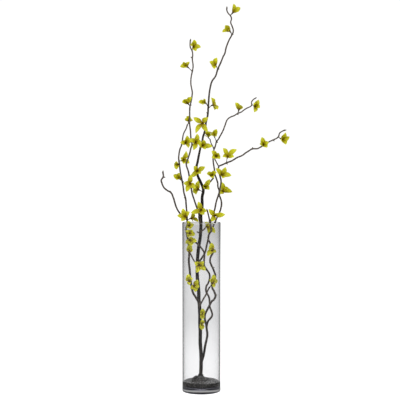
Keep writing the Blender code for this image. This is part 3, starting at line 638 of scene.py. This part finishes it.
def calyx_lobe(rim, look, out):
    """One small pointed lobe that leans on the tube from the cup's edge."""
    side = look.cross(out)
    bm = bmesh.new()
    bmesh.ops.create_grid(bm, x_segments=2, y_segments=5, size=1)
    for vert in bm.verts:
        across, along = vert.co.x, (vert.co.y + 1) / 2
        wide = LOBE_WIDTH * (1 - along ** 2) ** 0.5 + LOBE_TIP
        crown = LOBE_CROWN * (1 - across * across)
        middle = rim + look * (along * LOBE_LENGTH - LOBE_SUNK) + out * (LOBE_OUT + along * LOBE_FLARE + crown)
        vert.co = (middle + side * across * wide) * MM
    bmesh.ops.solidify(bm, geom=bm.faces, thickness=LOBE_THICKNESS * MM)
    return solid("lobe", bm)


def scaly_bud(foot, way):
    """A small pointed bud with two rings of scales."""
    return stood(turned("bud", BUD_PROFILE, BUD_STEPS), foot, way)


def stalk_strand(stalk, throat, tips):
    """The thin stalk from the twig to the bloom's cup."""
    look = facing(stalk, throat, tips)
    heel = throat - look * (TUBE_LENGTH + GAP + CUP_LENGTH - STALK_OVERLAP)
    middle = (stalk + heel) / 2 + look * STALK_BOW
    return strand([stalk, middle, heel], (STALK_ROOT, STALK_WAIST, STALK_RADIUS), 2, 4)


def standing(foot, route):
    """A route in the round that starts with a straight foot down in its hole."""
    return [Vector((*foot, FOOT_BOTTOM + GAP)), *(placed(point) for point in route)]


def strand_runs(foot, strands):
    """Points in the round and radii for each strand of a stem. The first has the foot."""
    (first, first_radii), *others = strands
    runs = [(standing(foot, first), first_radii)]
    runs += [([placed(point) for point in route], radii) for route, radii in others]
    return [(points, tapered(points, radii)) for points, radii in runs]


def branch(name, foot, strands, buds, blooms, finish):
    """A stem with its twigs and stalks as one solid, swollen at its nodes and uneven as bark is."""
    runs = strand_runs(foot, strands)
    pieces = [strand(points, radii, STEM_SIDES, ROUTE_STEPS) for points, radii in runs]
    pieces += [stalk_strand(placed(stalk), placed(throat), tips) for stalk, throat, tips in blooms]
    stem = fused(name, pieces)
    joints = [placed(spot) for spot, _ in buds] + [placed(stalk) for stalk, _, _ in blooms]
    roughened(stem, runs, joints)
    stem.data.materials.clear()
    stem.data.materials.append(finish)
    return smooth(stem, SHARP_ON_PLANT)


def tree_of(points):
    """A search tree for the nearest of some points, given in millimetres."""
    tree = KDTree(len(points))
    for index, point in enumerate(points):
        tree.insert(point * MM, index)
    tree.balance()
    return tree


def roughened(stem, runs, joints):
    """Moves a stem's skin in and out as bark does, and marks how thick the wood is under each point."""
    samples, radii = [], []
    for points, sizes in runs:
        for (here, there), (wide, narrow) in zip(zip(points, points[1:]), zip(sizes, sizes[1:])):
            for step in range(WOOD_SAMPLES):
                samples.append(here.lerp(there, step / WOOD_SAMPLES))
                radii.append(wide + (narrow - wide) * step / WOOD_SAMPLES)
    wood, knots = tree_of(samples), tree_of(joints)
    mesh = stem.data
    thickness = mesh.attributes.new("thickness", "FLOAT", "POINT")
    normals = [vert.normal.copy() for vert in mesh.vertices]
    for vert, normal in zip(mesh.vertices, normals):
        radius = radii[wood.find(vert.co)[1]]
        share = min(1, max(0, (radius - YOUNG_RADIUS) / OLD_EXTRA))
        thickness.data[vert.index].value = share
        near = knots.find(vert.co)[2] / MM
        swell = KNOT_SWELL * max(0, 1 - near / KNOT_REACH)
        bark = noise.noise(vert.co * BARK_WAVES) * BARK_DEPTH * min(1, radius / BARK_FULL)
        vert.co += normal * (swell + bark + BARK_SKIN * (1 - share)) * MM


def small_parts(name, buds, blooms, finish):
    """The buds of a stem, and the cups and lobes that its blooms sit in, as one piece."""
    parts = [scaly_bud(placed(spot), way) for spot, way in buds]
    for stalk, throat, tips in blooms:
        parts += calyx(placed(stalk), placed(throat), tips)
    piece = smooth(gathered(name, [(thing, 0) for thing in parts]), SHARP_ON_BUDS)
    piece.data.materials.clear()
    piece.data.materials.append(finish)
    return piece


def rounded(centre_radius, centre_height, radius, start, stop, steps):
    """Points of an arc in a profile, with angles in quarter turns from straight out."""
    angles = [(start + (stop - start) * step / steps) * pi / 2 for step in range(steps + 1)]
    return [(centre_radius + radius * cos(angle), centre_height + radius * sin(angle)) for angle in angles]


def make_vase(finish):
    """The blown glass: a hollow under the foot, a thick base, straight walls and a fire-rounded rim."""
    profile = [(PUNT_RADIUS, PUNT_DEPTH), (PUNT_RADIUS + PUNT_LIP / 2, PUNT_DEPTH * 0.3), (PUNT_RADIUS + PUNT_LIP, 0)]
    profile += rounded(VASE_RADIUS - FOOT_ROUND, FOOT_ROUND, FOOT_ROUND, -1, 0, ARC_STEPS)
    lip = VASE_HEIGHT - VASE_WALL / 2
    profile += [(VASE_RADIUS, FOOT_ROUND + EDGE_BAND), (VASE_RADIUS, lip - EDGE_BAND)]
    profile += rounded(VASE_RADIUS - VASE_WALL / 2, lip, VASE_WALL / 2, 0, 2, RIM_STEPS)
    profile += [(VASE_INNER, lip - EDGE_BAND), (VASE_INNER, VASE_BASE + BASE_ROUND + EDGE_BAND)]
    profile += rounded(VASE_INNER - BASE_ROUND, VASE_BASE + BASE_ROUND, BASE_ROUND, 0, -1, ARC_STEPS)
    vase = smooth(turned("glass_vase", profile, VASE_STEPS), SHARP_ON_GLASS)
    vase.data.materials.append(finish)
    vase.visible_shadow = False
    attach(vase, BODY)
    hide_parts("vase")


def make_fill(finish):
    """The dark setting: a poured disc with a mound of root-like folds, and a hole round each stem."""
    outer, bottom = VASE_INNER + FILL_SEAT, VASE_BASE - FILL_SEAT
    profile = [(outer - FILL_HEEL, bottom), (outer, bottom + FILL_HEEL)]
    profile += [(outer, FILL_TOP - FILL_LIP), (outer - FILL_LIP, FILL_TOP)]
    profile += [(MOUND_RADIUS * wide, FILL_TOP + MOUND_HEIGHT * high) for wide, high in MOUND_PROFILE]
    disc = turned("disc", profile, FILL_STEPS)
    folds = []
    for routes, radii in ((RIDGES, RIDGE_RADII), (ROOTLETS, ROOTLET_RADII)):
        folds += [strand([Vector(point) for point in route], radii, FOLD_SIDES, ROUTE_STEPS) for route in routes]
    collar = turned("collar", COLLAR_PROFILE, FILL_STEPS)
    collar.data.transform(Matrix.Translation(Vector((*TRUNK_FOOT, 0)) * MM))
    fill = fused("setting_resin", [disc, collar, *folds], "EXACT")
    fill = applied("setting_resin", melted(fill))
    for foot, radius in ((TRUNK_FOOT, TRUNK_FOOT_RADIUS), (CURLY_FOOT, CURLY_FOOT_RADIUS)):
        fill = bored(fill, foot, radius + GAP)
    fill.data.materials.clear()
    fill.data.materials.append(finish)
    smooth(fill, SHARP_ON_FILL)
    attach(fill, BODY)
    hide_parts("dark_fill")


def melted(thing):
    """Runs the folds of a solid into each other, as poured resin does."""
    skin = thing.modifiers.new("skin", "REMESH")
    skin.mode = "VOXEL"
    skin.voxel_size = MELT_CELL
    soften = thing.modifiers.new("soften", "SMOOTH")
    soften.iterations = MELT_PASSES
    soften.factor = MELT_STRENGTH
    return thing


def bored(thing, foot, radius):
    """Cuts an upright hole for a stem's foot."""
    bm = bmesh.new()
    bmesh.ops.create_cone(
        bm, cap_ends=True, segments=HOLE_SIDES, radius1=radius * MM, radius2=radius * MM, depth=HOLE_DEPTH * MM
    )
    place = Vector((*foot, FOOT_BOTTOM + HOLE_DEPTH / 2)) * MM
    bmesh.ops.translate(bm, vec=place, verts=bm.verts)
    tool = solid("hole", bm)
    cut = thing.modifiers.new("hole", "BOOLEAN")
    cut.operation = "DIFFERENCE"
    cut.object = tool
    cut.solver = "MANIFOLD"
    result = applied(thing.name, thing)
    drop(tool)
    return result


def socket(group, name, way, kind, value=None):
    """A named input or output of a node group."""
    item = group.interface.new_socket(name=name, in_out=way, socket_type=kind)
    if value is not None:
        item.default_value = value


def wired(tree, made, inputs):
    """Gives a node's inputs, by name or number, constants or the outputs of other nodes."""
    for name, source in inputs.items():
        if isinstance(source, bpy.types.NodeSocket):
            tree.links.new(source, made.inputs[name])
        else:
            made.inputs[name].default_value = source
    return made


def node(tree, kind, inputs=None, **settings):
    """A new node with its settings, and with what goes into its inputs."""
    made = tree.nodes.new(kind)
    for key, value in settings.items():
        setattr(made, key, value)
    return wired(tree, made, inputs or {})


def maths(tree, operation, *operands):
    """The result of one sum."""
    return node(tree, "ShaderNodeMath", dict(enumerate(operands)), operation=operation).outputs["Value"]


def ranged(tree, value, low, high, start=0, stop=1):
    """A value carried over from one range to another."""
    limits = {"Value": value, "From Min": low, "From Max": high, "To Min": start, "To Max": stop}
    return node(tree, "ShaderNodeMapRange", limits).outputs["Result"]


def mixed(tree, share, first, second, **settings):
    """Two colours mixed by a share."""
    inputs = {"Factor": share, "A": first, "B": second}
    return node(tree, "ShaderNodeMix", inputs, data_type="RGBA", **settings).outputs["Result"]


def cloud(tree, place, scale, detail, **settings):
    """Soft noise."""
    inputs = {"Vector": place, "Scale": scale, "Detail": detail, **settings}
    return node(tree, "ShaderNodeTexNoise", inputs).outputs["Fac"]


def bumped(tree, height, strength, distance):
    """The normal of a fine relief, its depth in metres."""
    inputs = {"Height": height, "Strength": strength, "Distance": distance}
    return node(tree, "ShaderNodeBump", inputs).outputs["Normal"]


def object_place(tree):
    """Object coordinates."""
    return node(tree, "ShaderNodeTexCoord").outputs["Object"]


def stretched(tree, place, scale):
    """Coordinates scaled differently along each axis."""
    return node(tree, "ShaderNodeMapping", {"Vector": place, "Scale": scale}).outputs["Vector"]


def split(tree, place):
    """The three parts of a vector."""
    return node(tree, "ShaderNodeSeparateXYZ", {"Vector": place}).outputs


def painted(tree, place, stops):
    """A colour by place along a ramp of stops, each a place and a colour."""
    made = node(tree, "ShaderNodeValToRGB", {"Fac": place})
    elements = made.color_ramp.elements
    while len(elements) < len(stops):
        elements.new(1)
    for element, (spot, colour) in zip(elements, stops):
        element.position = spot
        element.color = (*colour, 1)
    return made.outputs["Color"]


def mottle_group():
    """Two colours run together in soft patches, with the patches as a mask too."""
    tree = bpy.data.node_groups.new("patchy_tint", "ShaderNodeTree")
    socket(tree, "Place", "INPUT", "NodeSocketVector")
    socket(tree, "Patch scale", "INPUT", "NodeSocketFloat", 100)
    socket(tree, "Dark", "INPUT", "NodeSocketColor")
    socket(tree, "Light", "INPUT", "NodeSocketColor")
    socket(tree, "Colour", "OUTPUT", "NodeSocketColor")
    socket(tree, "Patches", "OUTPUT", "NodeSocketFloat")
    given = node(tree, "NodeGroupInput").outputs
    patches = ranged(tree, cloud(tree, given["Place"], given["Patch scale"], 4, Roughness=0.6), 0.3, 0.7)
    colour = mixed(tree, patches, given["Dark"], given["Light"])
    node(tree, "NodeGroupOutput", {"Colour": colour, "Patches": patches})
    return tree


def mottled(tree, group, place, scale, dark, light):
    """The colour and the patches of the mottle group in a material, with its own values."""
    inputs = {"Place": place, "Patch scale": scale, "Dark": (*dark, 1), "Light": (*light, 1)}
    made = wired(tree, node(tree, "ShaderNodeGroup", node_tree=group), inputs)
    return made.outputs["Colour"], made.outputs["Patches"]


def blank(name):
    """A new material, its nodes and its shader."""
    material = bpy.data.materials.new(name)
    material.use_nodes = True
    return material, material.node_tree, material.node_tree.nodes["Principled BSDF"]


def bark_finish(group):
    """Dark bark: near black on old wood, grey-brown on thin twigs, with pale raised pores and fine cracks."""
    material, tree, shader = blank("dark_bark_skin")
    place = object_place(tree)
    old, patches = mottled(tree, group, place, 110, (0.005, 0.004, 0.003), (0.014, 0.010, 0.007))
    young, _ = mottled(tree, group, place, 170, (0.050, 0.038, 0.030), (0.130, 0.104, 0.084))
    thickness = node(tree, "ShaderNodeAttribute", attribute_name="thickness").outputs["Fac"]
    spots = node(tree, "ShaderNodeTexVoronoi", {"Vector": stretched(tree, place, (1, 1, 0.7)), "Scale": 300})
    pores = ranged(tree, spots.outputs["Distance"], 0.26, 0.12)
    cracks = cloud(tree, stretched(tree, place, (1, 1, 0.16)), 900, 5)
    relief = maths(tree, "MULTIPLY_ADD", pores, 0.8, cracks)
    wired(tree, shader, {
        "Base Color": mixed(tree, pores, mixed(tree, thickness, young, old), PORE_COLOUR),
        "Roughness": ranged(tree, patches, 0, 1, 0.52, 0.78),
        "Normal": bumped(tree, relief, 0.7, 0.0004),
        "Specular IOR Level": 0.25,
    })
    return material


def petal_finish(group):
    """Yellow-green petals: brown-gold at the throat, paler at the tip, with fine lengthwise veins."""
    material, tree, shader = blank("yellow_petal_skin")
    chart = node(tree, "ShaderNodeUVMap", uv_map="UVMap").outputs["UV"]
    length = painted(tree, split(tree, chart)["Y"], PETAL_COLOURS)
    veins = cloud(tree, stretched(tree, chart, (16, 0.8, 1)), 1, 3)
    tint, patches = mottled(tree, group, object_place(tree), 160, (0.62, 0.62, 0.5), (1.06, 1.05, 1))
    tinted = mixed(tree, 1, length, tint, blend_type="MULTIPLY")
    wired(tree, shader, {
        "Base Color": mixed(tree, ranged(tree, veins, 0.35, 0.6, 0.3, 0), tinted, VEIN_COLOUR),
        "Roughness": ranged(tree, patches, 0, 1, 0.42, 0.6),
        "Normal": bumped(tree, veins, 0.5, 0.0003),
        "Specular IOR Level": 0.15,
        "Subsurface Weight": 0.2,
        "Subsurface Radius": (1, 0.8, 0.1),
        "Subsurface Scale": 0.0015,
    })
    return material


def plain_finish(name, group, scale, dark, light, roughness, relief):
    """A finish of two patchy colours with a fine grain, for anthers, buds and cups."""
    material, tree, shader = blank(name)
    place = object_place(tree)
    colour, patches = mottled(tree, group, place, scale, dark, light)
    wired(tree, shader, {
        "Base Color": colour,
        "Roughness": ranged(tree, patches, 0, 1, *roughness),
        "Normal": bumped(tree, cloud(tree, place, scale * 4, 4), 0.6, relief * MM),
    })
    return material


def resin_finish(group):
    """Poured black resin: glossy, with broad flow folds, duller patches and a fine skin."""
    material, tree, shader = blank("dark_resin_skin")
    place = object_place(tree)
    colour, patches = mottled(tree, group, place, 60, (0.005, 0.004, 0.004), (0.026, 0.024, 0.021))
    flow = cloud(tree, place, 70, 1, Distortion=1.6)
    relief = maths(tree, "MULTIPLY_ADD", cloud(tree, place, 420, 3), 0.06, flow)
    wired(tree, shader, {
        "Base Color": colour,
        "Roughness": ranged(tree, patches, 0, 1, 0.12, 0.34),
        "Normal": bumped(tree, relief, 1, 0.004),
    })
    return material


def glass_finish():
    """Clear glass, greyed by painted shade where it is seen edge on, with painted shade by height in its foot, and
    faint smudges.
    """
    material, tree, shader = blank("clear_glass_skin")
    # Painted shade: greyer where the glass is seen edge on
    edge = node(tree, "ShaderNodeLayerWeight", {"Blend": GLASS_EDGE}).outputs["Facing"]
    place = object_place(tree)
    height = split(tree, place)["Z"]
    # Painted shade by height in the foot: a dark line at the heel and a grey band under the fill
    thick = ranged(tree, height, FOOT_THIN * MM, FOOT_THICK * MM)
    foot = painted(tree, ranged(tree, height, 0, FOOT_THIN * MM), FOOT_SHADE_TONES)
    wired(tree, shader, {
        "Base Color": mixed(tree, thick, mixed(tree, edge, GLASS_FACE, GLASS_SIDE_SHADE), foot),
        "Roughness": ranged(tree, cloud(tree, place, 14, 5), 0.45, 0.8, 0, 0.06),
        "Transmission Weight": 1,
        "IOR": 1.4,
    })
    return material


def dimmed_away(tree, light, near, far, low, high):
    """A brightness scaled from one share to another between two distances from the vase's axis."""
    reach = node(tree, "ShaderNodeVectorMath", {"Vector": object_place(tree)}, operation="LENGTH").outputs["Value"]
    return maths(tree, "MULTIPLY", ranged(tree, reach, near, far, low, high), light)


def ray_kinds(tree):
    """Whether a ray comes straight from the eye, has passed glass, or was mirrored anywhere on its way."""
    eye = node(tree, "ShaderNodeLightPath").outputs
    unscattered = maths(tree, "LESS_THAN", eye["Diffuse Depth"], 0.5)
    kinds = [eye["Is Camera Ray"]]
    for name in ("Is Transmission Ray", "Glossy Depth"):
        kinds.append(maths(tree, "MULTIPLY", maths(tree, "GREATER_THAN", eye[name], 0.5), unscattered))
    return kinds


def by_kind(tree, plain, *cases):
    """A brightness with one value for each kind of ray, where the last kind that fits a ray counts."""
    for kind, value in cases:
        inputs = {"Factor": kind, "A": plain, "B": value}
        plain = node(tree, "ShaderNodeMix", inputs, data_type="FLOAT").outputs["Result"]
    return plain


def floor_finish():
    """Plain white for the floor, with a painted shadow under the vase and painted shade far off, for the glass alone.
    """
    material, tree, shader = blank("studio_floor")
    camera, through, mirrored = ray_kinds(tree)
    # Painted shadow under the vase and painted shade far off, on the floor as the glass sees it
    light = 1
    for stretch in (UNDER_VASE_SHADOW, FAR_OFF_SHADE):
        light = dimmed_away(tree, light, *stretch)
    white = maths(tree, "MULTIPLY", light, FLOOR_WHITE_THROUGH)
    glow = maths(tree, "MULTIPLY", light, FLOOR_GLOW_THROUGH)
    wired(tree, shader, {
        "Base Color": by_kind(tree, FLOOR_WHITE, (through, white), (mirrored, FLOOR_MIRRORED)),
        "Emission Strength": by_kind(tree, 0, (camera, FLOOR_GLOW), (through, glow), (mirrored, 0)),
        "Emission Color": WHITE,
        "Roughness": 0.9,
        "Specular IOR Level": 0,
    })
    return material


def make_floor():
    """A wide plain floor that fades into the white room."""
    bm = bmesh.new()
    bmesh.ops.create_grid(bm, x_segments=1, y_segments=1, size=FLOOR_HALF)
    bmesh.ops.translate(bm, vec=(0, 0, -FLOOR_DROP), verts=bm.verts)
    floor = solid("floor", bm)
    floor.data.materials.append(floor_finish())


def make_light(name, place, aim, size, power):
    """A large soft panel."""
    panel = bpy.data.lights.new(name, "AREA")
    panel.size = size
    panel.energy = power
    lamp = add(name, panel)
    lamp.location = place
    lamp.rotation_euler = (Vector(aim) - Vector(place)).to_track_quat("-Z", "Y").to_euler()


def make_room():
    """White all round to the eye, a little dimmer through the glass, and dim in what is mirrored."""
    world = bpy.data.worlds.new("studio")
    bpy.context.scene.world = world
    world.use_nodes = True
    tree = world.node_tree
    camera, through, mirrored = ray_kinds(tree)
    light = by_kind(tree, ROOM_LIGHT, (through, ROOM_THROUGH), (mirrored, ROOM_MIRRORED), (camera, ROOM_SEEN))
    wired(tree, tree.nodes["Background"], {"Color": WHITE, "Strength": light})
    for panel in PANELS:
        make_light(*panel)
    bpy.context.scene.view_settings.view_transform = "Standard"


def make_camera():
    """The camera at the photograph's viewing angle."""
    lens = bpy.data.cameras.new("camera")
    lens.lens = CAMERA_LENS
    lens.sensor_width = CAMERA_SENSOR
    camera = add("camera", lens)
    camera.location = CAMERA_AT
    camera.rotation_euler = (Vector(CAMERA_AIM) - Vector(CAMERA_AT)).to_track_quat("-Z", "Y").to_euler()
    bpy.context.scene.camera = camera


def dress(piece, node_name):
    """Makes a piece stand for a node of the part."""
    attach(piece, BODY)
    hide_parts(node_name)


def main():
    """Builds the room and dresses every node of the part."""
    make_camera()
    make_room()
    make_floor()
    group = mottle_group()
    bark = bark_finish(group)
    cups = plain_finish("bud_scale_skin", group, 400, (0.030, 0.024, 0.008), (0.105, 0.085, 0.024), (0.45, 0.65), 0.2)
    anthers = plain_finish("anther_skin", group, 900, (0.18, 0.09, 0.005), (0.40, 0.24, 0.012), (0.5, 0.7), 0.1)
    resin = resin_finish(group)
    petals = petal_finish(group)
    make_vase(glass_finish())
    make_fill(resin)
    stem = branch("forsythia_stem", TRUNK_FOOT, MAIN_STRANDS, MAIN_BUDS, MAIN_BLOOMS, bark)
    dress(stem, "main_branch")
    curly = branch("forsythia_curly_stem", CURLY_FOOT, CURLY_STRANDS, CURLY_BUDS, CURLY_BLOOMS, bark)
    dress(curly, "curly_branch")
    dress(small_parts("stem_buds_and_cups", MAIN_BUDS, MAIN_BLOOMS, cups), "main_branch")
    dress(small_parts("curly_buds_and_cups", CURLY_BUDS, CURLY_BLOOMS, cups), "curly_branch")
    for number, (stalk, throat, tips) in enumerate(MAIN_BLOOMS + CURLY_BLOOMS, start=1):
        bloom(number, placed(stalk), placed(throat), tips, (petals, anthers))


main()
